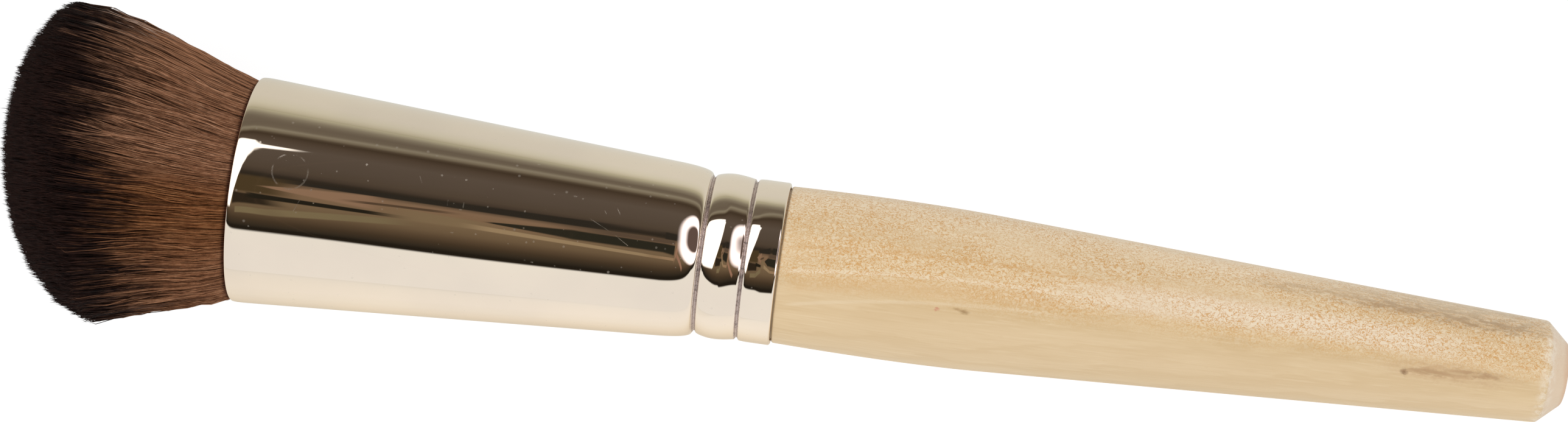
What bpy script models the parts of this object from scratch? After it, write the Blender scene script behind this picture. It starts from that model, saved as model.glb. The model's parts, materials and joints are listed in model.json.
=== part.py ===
# Foundation brush lying on its side: a turned wooden handle, a drawn and crimped metal ferrule, and a
# flared head of bristles set in glue. Lengths are in metres and +Z is up.
# The brush is modelled upright about its own axis, with the ferrule's mouth at height zero, the bristles
# above it and the handle below it. An empty then lays it on the floor, bristles towards -X.

import random
from math import atan2, cos, pi, radians, sin, sqrt, tan

import bmesh
import bpy
from mathutils import Vector

MM = 0.001

# Ferrule: outer sizes of the sheet, counted along the axis from the mouth
FERRULE_LENGTH = 55.4 * MM
MOUTH_RADIUS = 11.65 * MM
LIP_RADIUS = 0.7 * MM
SHEET_THICKNESS = 0.4 * MM
CONE_END_RADIUS = 9.03 * MM
SHOULDER_LENGTH = 3.75 * MM
CRIMP_SPACING = 4.4 * MM
END_BAND_LENGTH = 3.5 * MM
END_BAND_ROLL = 1.1 * MM
END_BAND_RADIUS = 8.42 * MM
CRIMP_WIDTH = 0.56 * MM
CRIMP_DEPTH = 0.28 * MM
FIRST_CRIMP_RADIUS = 8.22 * MM
SECOND_CRIMP_RADIUS = 8.33 * MM
BEAD_RISE = 0.28 * MM

# Handle: the tenon goes up into the ferrule, the grip hangs below it
TENON_LENGTH = 29.4 * MM
TENON_ROUND = 0.8 * MM
GRIP_LENGTH = 80.5 * MM
GRIP_TOP_RADIUS = 8.11 * MM
GRIP_TOP_ROUND = 0.25 * MM
SWELL_DISTANCE = 13.0 * MM
TAPER_DISTANCE = 21.3 * MM
TAPER_RADIUS = 8.12 * MM
BUTT_RADIUS = 5.28 * MM
BUTT_FLAT_RADIUS = 3.15 * MM
CHAMFER_LENGTH = 2.3 * MM
BUTT_ROUND = 0.6 * MM

# Glue: the bristles' slice, the plug behind it and the sleeve round the tenon
SLICE_DEPTH = 6.0 * MM
SLICE_THICKNESS = 2.0 * MM
SLEEVE_LENGTH = 15.5 * MM
GLUE_ROUND = 0.6 * MM

# Bristles: rings of three-sided strands, whose tips make a slanted dome
RING_COUNT = 8
CROWN_HEIGHT = 25.4 * MM
CROWN_DROP = 2.5 * MM
CROWN_ROLL = 6.75 * MM
CROWN_SLANT = 2.6 * MM
RIM_RADIUS = 16.45 * MM
BULGE_HEIGHT = 2.5 * MM
BULGE_RADIUS = 12.2 * MM
TIP_LENGTH = 4.5 * MM
LENGTH_SPREAD = 0.6 * MM
STRAND_GAP = 0.16 * MM
FLARE_SLOPE_SHARE = 0.2
BODY_SHARE = 0.87
RING_TURN_SHARE = 0.35
FLOOR_FLAT = 0.5 * MM

# Clearance between pieces that the real brush glues or presses together
FIT_GAP = 0.3 * MM

# Facets
SIDES = 48
ARC_STEPS = 4
GLUE_STEPS = 2
CURVE_STEPS = 8
MERGE_DISTANCE = 0.01 * MM
SMOOTH_ANGLE = radians(25)

# Distances down the axis from the mouth, worked out from the sizes above
SECOND_CRIMP = FERRULE_LENGTH - END_BAND_LENGTH
FIRST_CRIMP = SECOND_CRIMP - CRIMP_SPACING
CONE_LENGTH = FIRST_CRIMP - SHOULDER_LENGTH
TENON_TOP = FERRULE_LENGTH - TENON_LENGTH
GRIP_TOP = FERRULE_LENGTH + FIT_GAP
BUTT_END = GRIP_TOP + GRIP_LENGTH
SLICE_BACK = SLICE_DEPTH + SLICE_THICKNESS

TENON_RADIUS = FIRST_CRIMP_RADIUS - SHEET_THICKNESS - FIT_GAP
TENON_SEAT_RADIUS = END_BAND_RADIUS - SHEET_THICKNESS - FIT_GAP
NECK_RADIUS = MOUTH_RADIUS - LIP_RADIUS - FIT_GAP
RIM_HEIGHT = CROWN_HEIGHT - CROWN_DROP - CROWN_ROLL


def clear_scene():
    for obj in list(bpy.data.objects):
        bpy.data.objects.remove(obj)


def new_collection(name):
    collection = bpy.data.collections.new(name)
    bpy.context.scene.collection.children.link(collection)
    return collection


def new_material(name, colour, roughness, metallic=0.0):
    material = bpy.data.materials.new(name)
    material.use_nodes = True
    shader = material.node_tree.nodes["Principled BSDF"]
    shader.inputs["Base Color"].default_value = (*colour, 1.0)
    shader.inputs["Roughness"].default_value = roughness
    shader.inputs["Metallic"].default_value = metallic
    material.diffuse_color = (*colour, 1.0)
    return material


clear_scene()
parts = new_collection("foundation_brush")
cutters = new_collection("cutters")


# Outline points are (radius, distance down from the mouth)
def arc(centre, radius, start, end, steps=ARC_STEPS):
    angles = [start + (end - start) * step / steps for step in range(steps + 1)]
    return [(centre[0] + radius * cos(a), centre[1] + radius * sin(a)) for a in angles]


def rounded(before, corner, after, radius, steps=ARC_STEPS):
    corner = Vector(corner)
    back = (Vector(before) - corner).normalized()
    ahead = (Vector(after) - corner).normalized()
    half = back.angle(ahead) / 2
    centre = corner + (back + ahead).normalized() * radius / sin(half)
    first = corner + back * radius / tan(half) - centre
    last = corner + ahead * radius / tan(half) - centre
    return [tuple(centre + radius * first.slerp(last, step / steps)) for step in range(steps + 1)]


def bead(top, bottom, rise, steps=ARC_STEPS):
    spans = [step / steps for step in range(steps + 1)]
    return [
        (top[0] + (bottom[0] - top[0]) * t + rise * sin(pi * t), top[1] + (bottom[1] - top[1]) * t)
        for t in spans
    ]


def quadratic(start, control, end, steps=CURVE_STEPS):
    start, control, end = Vector(start), Vector(control), Vector(end)
    spans = [step / steps for step in range(steps + 1)]
    return [tuple(start.lerp(control, t).lerp(control.lerp(end, t), t)) for t in spans]


def turned(name, outline, closed=False, wall=0.0):
    mesh = bpy.data.meshes.new(name)
    count = len(outline)
    edges = [(i, i + 1) for i in range(count - 1)]
    if closed:
        edges.append((count - 1, 0))
    mesh.from_pydata([(radius, 0.0, -down) for radius, down in outline], edges, [])
    obj = bpy.data.objects.new(name, mesh)
    parts.objects.link(obj)
    screw = obj.modifiers.new("Screw", "SCREW")
    screw.steps = screw.render_steps = SIDES
    screw.use_merge_vertices = True
    screw.merge_threshold = MERGE_DISTANCE
    if wall:
        solidify = obj.modifiers.new("Solidify", "SOLIDIFY")
        solidify.thickness = wall
        solidify.offset = -1.0
    return obj


def bake_modifiers(obj):
    graph = bpy.context.evaluated_depsgraph_get()
    mesh = bpy.data.meshes.new_from_object(obj.evaluated_get(graph))
    obj.modifiers.clear()
    obj.data = mesh
    smooth(mesh)


def smooth(mesh):
    mesh.shade_smooth()
    mesh.set_sharp_from_angle(angle=SMOOTH_ANGLE)


def cone_radius(down):
    return MOUTH_RADIUS + (CONE_END_RADIUS - MOUTH_RADIUS) * down / CONE_LENGTH


def fill_radius(down):
    return cone_radius(down) - SHEET_THICKNESS - FIT_GAP


def crimp(down, edge_radius):
    return [
        (edge_radius, down - CRIMP_WIDTH / 2),
        (edge_radius - CRIMP_DEPTH, down),
        (edge_radius, down + CRIMP_WIDTH / 2),
    ]


def ferrule_outline():
    lip = arc((MOUTH_RADIUS - LIP_RADIUS, LIP_RADIUS), LIP_RADIUS, -pi / 2, 0.0)
    first = crimp(FIRST_CRIMP, FIRST_CRIMP_RADIUS)
    second = crimp(SECOND_CRIMP, SECOND_CRIMP_RADIUS)
    shoulder_drop = CONE_END_RADIUS - FIRST_CRIMP_RADIUS
    shoulder_run = SHOULDER_LENGTH - CRIMP_WIDTH / 2
    angles = [pi / 2 * step / (ARC_STEPS + 1) for step in range(ARC_STEPS + 1)]
    shoulder = [
        (FIRST_CRIMP_RADIUS + shoulder_drop * cos(a), CONE_LENGTH + shoulder_run * sin(a))
        for a in angles
    ]
    band_top = second[-1][1]
    band_rise = END_BAND_RADIUS - SECOND_CRIMP_RADIUS
    band = [
        (SECOND_CRIMP_RADIUS + band_rise * sin(a), band_top + END_BAND_ROLL * (1 - cos(a)))
        for a in (pi / 4, pi / 2)
    ]
    band.append((END_BAND_RADIUS, FERRULE_LENGTH))
    return lip + shoulder + first + bead(first[-1], second[0], BEAD_RISE)[1:-1] + second + band


def make_ferrule():
    ferrule = turned("ferrule", ferrule_outline(), wall=SHEET_THICKNESS)
    bake_modifiers(ferrule)
    ferrule.data.materials.append(new_material("champagne_plating", (0.76, 0.64, 0.50), 0.12, 1.0))
    return ferrule


# The crimps press a shallow ring into the tenon
def pressed_ring(down, edge_radius, radius_below):
    root = edge_radius - CRIMP_DEPTH - SHEET_THICKNESS - FIT_GAP
    return [(TENON_RADIUS, down - CRIMP_WIDTH), (root, down), (radius_below, down + CRIMP_WIDTH)]


def handle_outline():
    grip_top = (GRIP_TOP_RADIUS, GRIP_TOP)
    taper_slope = (TAPER_RADIUS - BUTT_RADIUS) / (GRIP_LENGTH - TAPER_DISTANCE - CHAMFER_LENGTH)
    swell_radius = TAPER_RADIUS + taper_slope * (TAPER_DISTANCE - SWELL_DISTANCE)
    swell = (swell_radius, GRIP_TOP + SWELL_DISTANCE)
    taper = (TAPER_RADIUS, GRIP_TOP + TAPER_DISTANCE)
    butt = (BUTT_RADIUS, BUTT_END - CHAMFER_LENGTH)
    flat = (BUTT_FLAT_RADIUS, BUTT_END)
    points = [(0.0, TENON_TOP)]
    points += rounded(points[0], (TENON_RADIUS, TENON_TOP), (TENON_RADIUS, FIRST_CRIMP), TENON_ROUND)
    points += pressed_ring(FIRST_CRIMP, FIRST_CRIMP_RADIUS, TENON_RADIUS)
    points += pressed_ring(SECOND_CRIMP, SECOND_CRIMP_RADIUS, TENON_SEAT_RADIUS)
    points.append((TENON_SEAT_RADIUS, GRIP_TOP))
    points += rounded(points[-1], grip_top, swell, GRIP_TOP_ROUND)
    points += quadratic(grip_top, swell, taper)[1:]
    points += rounded(taper, butt, flat, BUTT_ROUND)
    points += rounded(butt, flat, (0.0, BUTT_END), BUTT_ROUND)
    points.append((0.0, BUTT_END))
    return points


def make_handle():
    handle = turned("handle", handle_outline())
    bake_modifiers(handle)
    handle.data.materials.append(new_material("lacquered_birch", (0.73, 0.55, 0.33), 0.38))
    return handle


def make_epoxy_plug():
    top = SLICE_BACK + FIT_GAP
    bottom = TENON_TOP - FIT_GAP
    top_edge = (fill_radius(top), top)
    bottom_edge = (fill_radius(bottom), bottom)
    points = [(0.0, top)]
    points += rounded(points[0], top_edge, bottom_edge, GLUE_ROUND, GLUE_STEPS)
    points += rounded(top_edge, bottom_edge, (0.0, bottom), GLUE_ROUND, GLUE_STEPS)
    points.append((0.0, bottom))
    plug = turned("epoxy_plug", points)
    bake_modifiers(plug)
    plug.data.materials.append(new_material("cast_epoxy", (0.60, 0.45, 0.22), 0.30))
    return plug


def make_handle_glue():
    top = TENON_TOP + TENON_ROUND
    bottom = top + SLEEVE_LENGTH
    bore = TENON_RADIUS + FIT_GAP
    outline = [(bore, top), (fill_radius(top), top), (fill_radius(bottom), bottom), (bore, bottom)]
    sleeve = turned("handle_glue", outline, closed=True)
    bake_modifiers(sleeve)
    sleeve.data.materials.append(new_material("wood_glue", (0.70, 0.62, 0.42), 0.45))
    return sleeve


# The slice is divided into rings of three-sided cells between circles of 6, 12, 18... corners, which gives
# every cell the same area. Each circle is turned a little further, so the cells make no straight spokes.
def ring_corners(ring):
    count = max(6 * ring, 1)
    reach = ring / RING_COUNT
    first = RING_TURN_SHARE * sum(pi / 3 / inner for inner in range(1, ring + 1))
    turns = [first + 2 * pi * corner / count for corner in range(count)]
    return [Vector((reach * cos(turn), reach * sin(turn), 0.0)) for turn in turns]


def ring_cells(inner, outer, ring):
    for sector in range(6):
        for step in range(ring + 1):
            near = inner[(sector * ring + step) % len(inner)]
            low = outer[sector * (ring + 1) + step]
            high = outer[(sector * (ring + 1) + step + 1) % len(outer)]
            yield (near, low, high)
            if step < ring:
                yield (near, high, inner[(sector * ring + step + 1) % len(inner)])


def crown_height(spot):
    reach = min(spot.length, 1.0)
    roll = CROWN_ROLL * (1 - sqrt(1 - reach * reach))
    return CROWN_HEIGHT - CROWN_DROP * reach * reach - roll + CROWN_SLANT * spot.y


def flare_radius(height):
    return RIM_RADIUS + FLARE_SLOPE_SHARE * (height - RIM_HEIGHT)


def extrude_to(mesh, face, centre, swell):
    face = bmesh.ops.extrude_discrete_faces(mesh, faces=[face])["faces"][0]
    old_centre = face.calc_center_median()
    for vert in face.verts:
        vert.co = centre + swell * (vert.co - old_centre)
    return face


# A strand keeps to its own cell, which widens with the flare, so no two strands can cross
def grow_strand(mesh, face, in_rim, rng):
    root_radius = fill_radius(SLICE_DEPTH)
    spot = face.calc_center_median() / root_radius
    spot.z = 0.0
    up = Vector((0.0, 0.0, 1.0))
    height = crown_height(spot) + rng.uniform(-LENGTH_SPREAD, LENGTH_SPREAD)
    body_height = height - TIP_LENGTH
    tip_radius = flare_radius(height)
    body_radius = NECK_RADIUS + (tip_radius - NECK_RADIUS) * body_height / height
    face = extrude_to(mesh, face, spot * NECK_RADIUS, NECK_RADIUS / root_radius)
    radius = NECK_RADIUS
    if in_rim:
        face = extrude_to(mesh, face, spot * BULGE_RADIUS + up * BULGE_HEIGHT, BULGE_RADIUS / radius)
        radius = BULGE_RADIUS
    swell = BODY_SHARE * body_radius / radius
    face = extrude_to(mesh, face, spot * body_radius + up * body_height, swell)
    tip = bmesh.ops.poke(mesh, faces=[face])["verts"][0]
    tip.co = spot * tip_radius + up * height


def make_bristle_bundle():
    rng = random.Random(5)
    root_radius = fill_radius(SLICE_DEPTH)
    mesh = bmesh.new()
    down = Vector((0.0, 0.0, SLICE_DEPTH))
    rings = [
        [mesh.verts.new(root_radius * corner - down) for corner in ring_corners(ring)]
        for ring in range(RING_COUNT + 1)
    ]
    cells = []
    for ring in range(RING_COUNT):
        corners = ring_cells(rings[ring], rings[ring + 1], ring)
        cells += [(mesh.faces.new(trio), ring == RING_COUNT - 1) for trio in corners]
    rim = [edge for edge in mesh.edges if edge.is_boundary]
    wall = bmesh.ops.extrude_edge_only(mesh, edges=rim)["geom"]
    for vert in [item for item in wall if isinstance(item, bmesh.types.BMVert)]:
        vert.co *= fill_radius(SLICE_BACK) / root_radius
        vert.co.z = -SLICE_BACK
    back = [edge for edge in mesh.edges if edge.is_boundary]
    bmesh.ops.contextual_create(mesh, geom=back)
    faces = [face for face, in_rim in cells]
    bmesh.ops.inset_individual(mesh, faces=faces, thickness=STRAND_GAP / 2)
    for face, in_rim in cells:
        grow_strand(mesh, face, in_rim, rng)
    bmesh.ops.recalc_face_normals(mesh, faces=mesh.faces)
    print("strands:", len(cells), "triangles:", sum(len(face.verts) - 2 for face in mesh.faces))
    data = bpy.data.meshes.new("bristle_bundle")
    mesh.to_mesh(data)
    mesh.free()
    smooth(data)
    data.materials.append(new_material("dyed_filament", (0.16, 0.065, 0.035), 0.55))
    bundle = bpy.data.objects.new("bristle_bundle", data)
    parts.objects.link(bundle)
    return bundle


# The floor touches the butt and presses the lowest bristles flat, so the brush slopes down to its butt
def floor_tilt(bundle):
    head = [(-vert.co.x - FLOOR_FLAT, vert.co.z) for vert in bundle.data.vertices if vert.co.z > 0.0]
    butt = [(radius, -down) for radius, down in handle_outline()]
    return max(min(atan2(h - b, up - low) for b, low in butt) for h, up in head)


def lay_down(pieces, bundle):
    tilt = floor_tilt(bundle)
    lay = bpy.data.objects.new("brush_lay", None)
    lay.empty_display_size = FERRULE_LENGTH
    parts.objects.link(lay)
    lay.rotation_euler.y = tilt - pi / 2
    lay.location.z = max(radius * cos(tilt) + down * sin(tilt) for radius, down in handle_outline())
    for piece in pieces:
        piece.parent = lay
    return lay


def cut_flat(bundle, lay):
    bpy.ops.mesh.primitive_cube_add(size=1.0)
    floor = bpy.context.object
    floor.name = "floor_cutter"
    floor.dimensions = (4 * CROWN_HEIGHT, 4 * RIM_RADIUS, RIM_RADIUS)
    floor.location = (lay.location.x, lay.location.y, -RIM_RADIUS / 2)
    floor.display_type = "WIRE"
    floor.hide_render = True
    for collection in list(floor.users_collection):
        collection.objects.unlink(floor)
    cutters.objects.link(floor)
    cut = bundle.modifiers.new("Floor", "BOOLEAN")
    cut.operation = "DIFFERENCE"
    cut.object = floor


def world_corners(pieces):
    graph = bpy.context.evaluated_depsgraph_get()
    points = []
    for piece in pieces:
        solid = piece.evaluated_get(graph)
        points += [solid.matrix_world @ vert.co for vert in solid.data.vertices]
    low = Vector([min(point[axis] for point in points) for axis in range(3)])
    high = Vector([max(point[axis] for point in points) for axis in range(3)])
    return low, high


# The origin goes on the floor under the middle of the brush
def centre_on_origin(lay, pieces):
    bpy.context.view_layer.update()
    low, high = world_corners(pieces)
    lay.location.x -= (low.x + high.x) / 2
    lay.location.y -= (low.y + high.y) / 2


def print_places(lay, pieces):
    bpy.context.view_layer.update()
    low, high = world_corners(pieces)
    butt = lay.matrix_world @ Vector((0.0, 0.0, -BUTT_END))
    away = lay.matrix_world.to_3x3() @ Vector((0.0, 0.0, -1.0))
    for name, spot in (("box from", low), ("box to", high), ("butt centre", butt), ("butt faces", away)):
        print(name, [round(value, 6) for value in spot])


bristle_bundle = make_bristle_bundle()
brush = [make_ferrule(), make_handle(), make_epoxy_plug(), make_handle_glue(), bristle_bundle]
brush_lay = lay_down(brush, bristle_bundle)
centre_on_origin(brush_lay, brush)
cut_flat(bristle_bundle, brush_lay)
print_places(brush_lay, brush)
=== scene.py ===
import json
import math

import bmesh
import bpy
import numpy as np
from mathutils import Matrix, Vector


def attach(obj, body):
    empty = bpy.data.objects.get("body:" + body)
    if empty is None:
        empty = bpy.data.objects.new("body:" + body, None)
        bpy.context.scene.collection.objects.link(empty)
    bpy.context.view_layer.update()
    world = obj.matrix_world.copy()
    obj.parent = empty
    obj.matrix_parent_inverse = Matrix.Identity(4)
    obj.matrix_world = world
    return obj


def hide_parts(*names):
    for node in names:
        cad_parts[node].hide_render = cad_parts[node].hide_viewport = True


# Dresses the foundation brush. Lengths are in metres. Every piece is made upright in the brush's own
# frame: Z runs up through the bristles from the ferrule's mouth, X is the side that lies uppermost, and
# the ferrule and handle hang below zero.

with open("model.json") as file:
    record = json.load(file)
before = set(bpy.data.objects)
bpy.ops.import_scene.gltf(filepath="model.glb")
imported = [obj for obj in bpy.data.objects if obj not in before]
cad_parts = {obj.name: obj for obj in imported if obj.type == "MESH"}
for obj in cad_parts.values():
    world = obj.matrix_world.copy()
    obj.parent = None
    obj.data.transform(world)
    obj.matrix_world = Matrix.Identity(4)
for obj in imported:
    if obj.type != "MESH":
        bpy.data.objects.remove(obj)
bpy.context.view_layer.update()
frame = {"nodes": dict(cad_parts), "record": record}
mm = 0.001


def tone(red, green, blue):
    # a screen colour, 0 to 255, as the linear colour that shaders want
    def linear(value):
        value /= 255
        return value / 12.92 if value <= 0.04045 else ((value + 0.055) / 1.055) ** 2.4

    return (linear(red), linear(green), linear(blue), 1.0)


# Where the brush lies

brush = {
    "buttStation": 136.2 * mm,  # from the ferrule's mouth to the flat of the butt
    "footStation": 69.5 * mm,  # where the camera stands straight over the axis
    "cameraDistance": 398.8 * mm,
    "aimStation": 54.96 * mm,
    "aimSide": 5.47 * mm,
    "axisSlope": math.radians(7.99),  # how far the handle points down in the picture
    "pixelsAcross": 2576,
    "focalPixels": 6369,
    "sensorWidth": 36.0,
}

buttMount = frame["record"]["mounts"][0]
handleWay = Vector(buttMount["axis"]).normalized()
sideWay = Vector((0, 1, 0))
upWay = handleWay.cross(sideWay)
mouthCentre = Vector(buttMount["pos_m"]) - handleWay * brush["buttStation"]
brushPlace = Matrix.Translation(mouthCentre) @ Matrix((upWay, sideWay, -handleWay)).transposed().to_4x4()


def inScene(name, data, place=Matrix()):
    made = bpy.data.objects.new(name, data)
    bpy.context.scene.collection.objects.link(made)
    made.matrix_world = place
    return made


def placeCamera():
    station = brush["footStation"]
    eye = brushPlace @ Vector((brush["cameraDistance"], 0, -station))
    aim = brushPlace @ Vector((0, brush["aimSide"], -brush["aimStation"]))
    look = (aim - eye).normalized()
    along = (handleWay - look * handleWay.dot(look)).normalized()
    above = along.cross(look)
    turn = brush["axisSlope"]
    right = along * math.cos(turn) + above * math.sin(turn)
    up = above * math.cos(turn) - along * math.sin(turn)
    data = bpy.data.cameras.new("studioCamera")
    data.sensor_width = brush["sensorWidth"]
    data.lens = brush["sensorWidth"] * brush["focalPixels"] / brush["pixelsAcross"]
    data.clip_start = 0.01
    data.clip_end = 20
    place = Matrix.Translation(eye) @ Matrix((right, up, -look)).transposed().to_4x4()
    bpy.context.scene.camera = inScene("studioCamera", data, place)


placeCamera()
print("camera placed")


# Small helpers for node trees


def newNode(tree, kind, **settings):
    node = tree.nodes.new("ShaderNode" + kind)
    for name, value in settings.items():
        setattr(node, name, value)
    return node


def feed(node, key, value):
    # links an input to a socket, or sets it to a plain value
    if isinstance(value, bpy.types.NodeSocket):
        node.id_data.links.new(value, node.inputs[key])
    else:
        node.inputs[key].default_value = value


def fedNode(kind, inputs, **settings):
    # a node in the tree of the sockets that it's fed from
    tree = next(value.id_data for value in inputs.values() if isinstance(value, bpy.types.NodeSocket))
    node = newNode(tree, kind, **settings)
    for key, value in inputs.items():
        feed(node, key, value)
    return node.outputs


def sums(operation, *values):
    return fedNode("Math", dict(enumerate(values)), operation=operation)[0]


def chained(operation):
    def compute(made, *others):
        for other in others:
            made = sums(operation, made, other)
        return made

    return compute


plus = chained("ADD")
times = chained("MULTIPLY")
larger = chained("MAXIMUM")


def minus(value, taken):
    return sums("SUBTRACT", value, taken)


def offBy(value, middle):
    return sums("ABSOLUTE", minus(value, middle))


def spread(value, width):
    # a value from 0 to 1 as one that strays both ways from nothing
    return times(minus(value, 0.5), width)


def vectorSums(operation, *values):
    outputs = fedNode("VectorMath", dict(enumerate(values)), operation=operation)
    return outputs["Value" if operation in ("LENGTH", "DISTANCE", "DOT_PRODUCT") else "Vector"]


def scaled(vector, share):
    return fedNode("VectorMath", {0: vector, "Scale": share}, operation="SCALE")[0]


def stretched(vector, *shares):
    return vectorSums("MULTIPLY", vector, shares)


def splitPlaces(vector):
    return fedNode("SeparateXYZ", {0: vector})


def joined(x, y):
    return fedNode("CombineXYZ", {0: x, 1: y})[0]


def soften(value, low, high, atLow=0.0, atHigh=1.0):
    # a smooth step from low to high
    inputs = {"Value": value, "From Min": low, "From Max": high, "To Min": atLow, "To Max": atHigh}
    return fedNode("MapRange", inputs, interpolation_type="SMOOTHSTEP")["Result"]


def blend(share, first, second, mode="MIX"):
    return fedNode("Mix", {0: share, 6: first, 7: second}, data_type="RGBA", blend_type=mode)[2]


def ramp(value, stops):
    colour = fedNode("ValToRGB", {"Fac": value})["Color"]
    elements = colour.node.color_ramp.elements
    while len(elements) < len(stops):
        elements.new(0.5)
    for element, (place, stopTone) in zip(elements, stops):
        element.position = place
        element.color = stopTone
    return colour


def noise(vector, scale, detail=2.0, roughness=0.5, distortion=0.0):
    inputs = {"Vector": vector, "Scale": scale, "Detail": detail, "Roughness": roughness}
    return fedNode("TexNoise", {**inputs, "Distortion": distortion})["Fac"]


def drawnNoise(vector, across, along, detail=2.0, roughness=0.5, distortion=0.0, scale=1):
    # noise that is drawn out along the brush
    return noise(stretched(vector, across, across, along), scale, detail, roughness, distortion)


def bump(height, strength, distance):
    return fedNode("Bump", {"Height": height, "Strength": strength, "Distance": distance})["Normal"]


def newMaterial(name):
    material = bpy.data.materials.new(name)
    material.use_nodes = True
    tree = material.node_tree
    return material, tree, tree.nodes["Principled BSDF"]


def objectPlaces(tree):
    return newNode(tree, "TexCoord").outputs["Object"]


# Turned pieces

turning = {"sides": 192, "sharpOver": math.radians(32)}


def arc(centre, radius, start, end, steps):
    angles = np.linspace(start, end, steps + 1)
    return [(centre[0] + radius * math.cos(a), centre[1] + radius * math.sin(a)) for a in angles]


def filleted(before, corner, after, radius, steps):
    # rounds a corner of an outline
    corner = Vector(corner)
    back = (Vector(before) - corner).normalized()
    ahead = (Vector(after) - corner).normalized()
    half = back.angle(ahead) / 2
    centre = corner + (back + ahead).normalized() * radius / math.sin(half)
    first = (corner + back * radius / math.tan(half) - centre) / radius
    last = (corner + ahead * radius / math.tan(half) - centre) / radius
    return [tuple(centre + radius * first.slerp(last, step / steps)) for step in range(steps + 1)]


def spun(name, outline, closed=False):
    # turns an outline of (radius, distance down) about Z and lays out its map for baking
    sides = turning["sides"]
    points = np.array(outline)
    if closed:
        points = np.vstack([points, points[:1]])
    lengths = np.concatenate([[0], np.cumsum(np.hypot(*np.diff(points, axis=0).T))])
    lengths /= lengths[-1]
    rows = len(outline)
    turns = np.linspace(0, 2 * math.pi, sides, endpoint=False)
    ringX = np.outer(points[:rows, 0], np.cos(turns))
    ringY = np.outer(points[:rows, 0], np.sin(turns))
    ringZ = np.repeat(-points[:rows, 1], sides).reshape(rows, sides)
    places = np.stack([ringX, ringY, ringZ], axis=2).reshape(-1, 3)
    faces = []
    corners = []
    for row in range(len(points) - 1):
        below = (row + 1) % rows
        for side in range(sides):
            right = (side + 1) % sides
            face = [row * sides + side, below * sides + side, below * sides + right, row * sides + right]
            uvs = [(side, row), (side, row + 1), (side + 1, row + 1), (side + 1, row)]
            if points[row, 0] < 1e-9:
                face, uvs = face[:3], uvs[:3]
                face[0] = row * sides
            elif points[row + 1, 0] < 1e-9:
                face, uvs = [face[0], face[1], face[3]], [uvs[0], uvs[1], uvs[3]]
                face[1] = below * sides
            faces.append(face)
            corners += [(u / sides, lengths[v]) for u, v in uvs]
    mesh = bpy.data.meshes.new(name)
    mesh.from_pydata(places.tolist(), [], faces)
    chart = mesh.uv_layers.new(name="OFBake")
    chart.data.foreach_set("uv", np.array(corners, dtype=np.float32).ravel())
    return finishedMesh(name, mesh)


def finishedMesh(name, mesh):
    work = bmesh.new()
    work.from_mesh(mesh)
    bmesh.ops.delete(work, geom=[v for v in work.verts if not v.link_faces], context="VERTS")
    bmesh.ops.recalc_face_normals(work, faces=work.faces)
    work.to_mesh(mesh)
    work.free()
    mesh.shade_smooth()
    mesh.set_sharp_from_angle(angle=turning["sharpOver"])
    return inScene(name, mesh, brushPlace)


# Ferrule

ferruleSizes = {
    "length": 55.4 * mm,
    "mouthRadius": 11.74 * mm,
    "mouthStation": -0.22 * mm,
    "lipRadius": 0.15 * mm,
    "mouthCurl": 0.12 * mm,  # how far the cone curls in at its mouth
    "curlOver": 0.4 * mm,
    "sheet": 0.4 * mm,
    "coneEndRadius": 9.03 * mm,
    "coneLength": 43.75 * mm,
    "crimpStations": (47.5 * mm, 51.9 * mm),
    "crimpRadii": (8.22 * mm, 8.33 * mm),
    "crimpWidth": 0.5 * mm,
    "crimpDepth": 0.28 * mm,
    "beadRise": 0.3 * mm,
    "beadLean": 0.82,  # below 1, its crown lies nearer the mouth
    "endRadius": 8.42 * mm,
    "endRoll": 1.1 * mm,
    "edgeRound": 0.24 * mm,
}


def coneRadius(station):
    # straight, but for a slight curl at the mouth
    size = ferruleSizes
    curl = size["mouthCurl"] * math.exp((size["mouthStation"] - station) / size["curlOver"])
    narrowing = (size["mouthRadius"] - size["coneEndRadius"]) * station / size["coneLength"]
    return size["mouthRadius"] - narrowing - curl


def ferruleOutline():
    size = ferruleSizes
    lip = size["lipRadius"]
    lipStation = size["mouthStation"] + lip
    lean = math.atan((coneRadius(lipStation + lip) - coneRadius(lipStation)) / lip)
    lipEnd = lipStation - lip * math.sin(lean)
    points = arc((coneRadius(lipEnd) - lip * math.cos(lean), lipStation), lip, -math.pi / 2, -lean, 10)
    first, second = size["crimpStations"]
    firstRadius, secondRadius = size["crimpRadii"]
    half = size["crimpWidth"] / 2
    for share in [0.002, 0.005, 0.009, 0.014, 0.02, 0.028, 0.04, 0.06, *np.linspace(0.1, 1, 20)]:
        station = lipEnd + (size["coneLength"] - lipEnd) * share
        points.append((coneRadius(station), station))
    # the shoulder, a quarter of an ellipse that leaves the cone without a break
    drop = size["coneEndRadius"] - firstRadius
    run = first - half - size["coneLength"]
    slope = (size["mouthRadius"] - size["coneEndRadius"]) / size["coneLength"]
    for angle in np.linspace(0.05, math.pi / 2 - 0.14, 24):
        share = math.sin(angle)
        ellipse = drop * (1 - math.cos(angle))
        radius = size["coneEndRadius"] - ellipse - slope * run * share * (1 - share)
        points.append((radius, size["coneLength"] + run * share))
    points += crimpOutline(first, firstRadius)
    top, bottom = first + half, second - half
    for share in np.linspace(0.04, 0.96, 22):
        radius = firstRadius + (secondRadius - firstRadius) * share
        radius += size["beadRise"] * math.sin(math.pi * share ** size["beadLean"])
        points.append((radius, top + (bottom - top) * share))
    points += crimpOutline(second, secondRadius)
    rise = size["endRadius"] - secondRadius
    for angle in np.linspace(0.25, math.pi / 2, 9):
        station = second + half + size["endRoll"] * (1 - math.cos(angle))
        points.append((secondRadius + rise * math.sin(angle), station))
    edge = size["edgeRound"]
    points += arc((size["endRadius"] - edge, size["length"] - edge), edge, 0, math.pi / 2, 6)
    return points


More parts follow.
